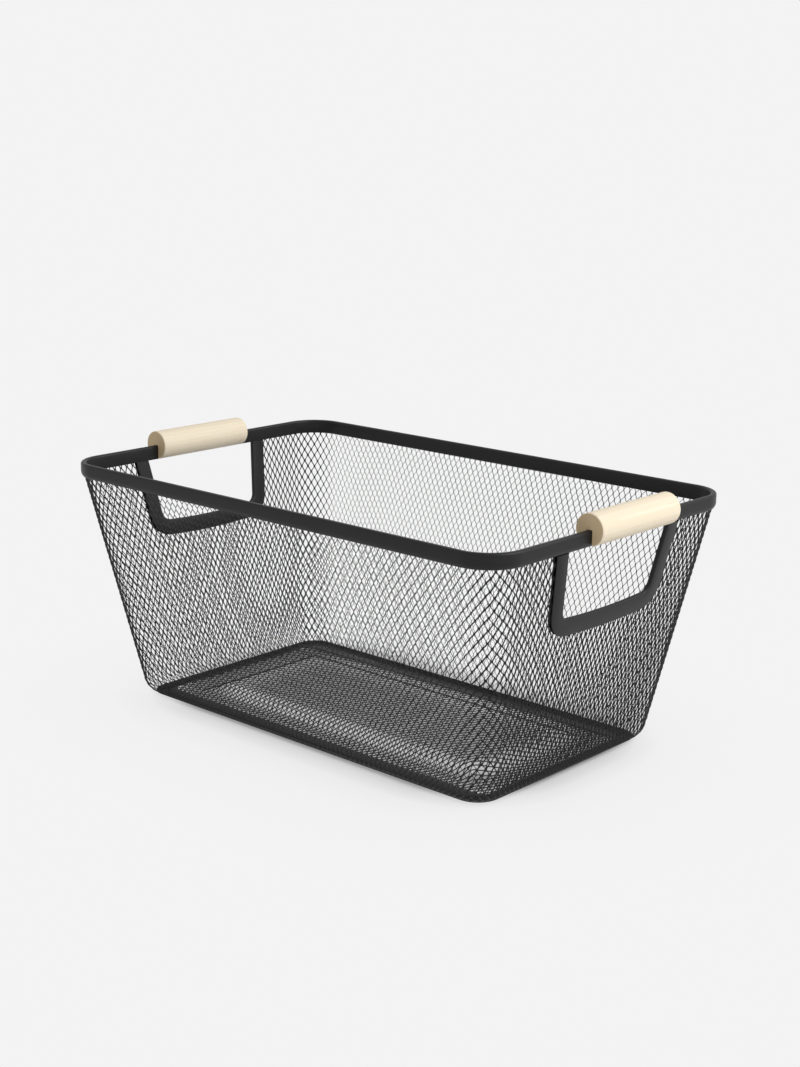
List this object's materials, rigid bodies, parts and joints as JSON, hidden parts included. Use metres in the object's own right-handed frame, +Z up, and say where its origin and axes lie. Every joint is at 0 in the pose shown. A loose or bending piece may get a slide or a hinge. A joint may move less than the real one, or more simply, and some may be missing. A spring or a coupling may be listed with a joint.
{
  "type": "wire locker basket",
  "caption": "Open rectangular storage basket of black expanded steel mesh with leaning walls, a folded rim band, hand holes in both ends and slotted wooden grips.",
  "frame": {"origin": "on the surface that the basket stands on, below the middle of its mouth", "axes": "+Z up out of the mouth, +X along the basket's length towards the right hand hole, +Y towards the back wall"},
  "size_m": [0.396, 0.24, 0.1776],
  "materials": {
    "powder_coat": "fine satin black powder coat on steel",
    "pale_wood": "pale birch, turned, sanded and left matt"
  },
  "bodies": {
    "root": {"rim_band": "powder_coat", "wall_mesh_front": "powder_coat", "wall_mesh_back": "powder_coat", "wall_mesh_left": "powder_coat", "wall_mesh_right": "powder_coat", "wall_corner_left_front": "powder_coat", "wall_corner_left_back": "powder_coat", "wall_corner_right_front": "powder_coat", "wall_corner_right_back": "powder_coat", "wall_base_bend": "powder_coat", "floor_mesh_panel": "powder_coat", "handle_frame_left": "powder_coat", "handle_frame_right": "powder_coat", "grip_left": "pale_wood", "grip_right": "pale_wood"}
  },
  "joints": []
}
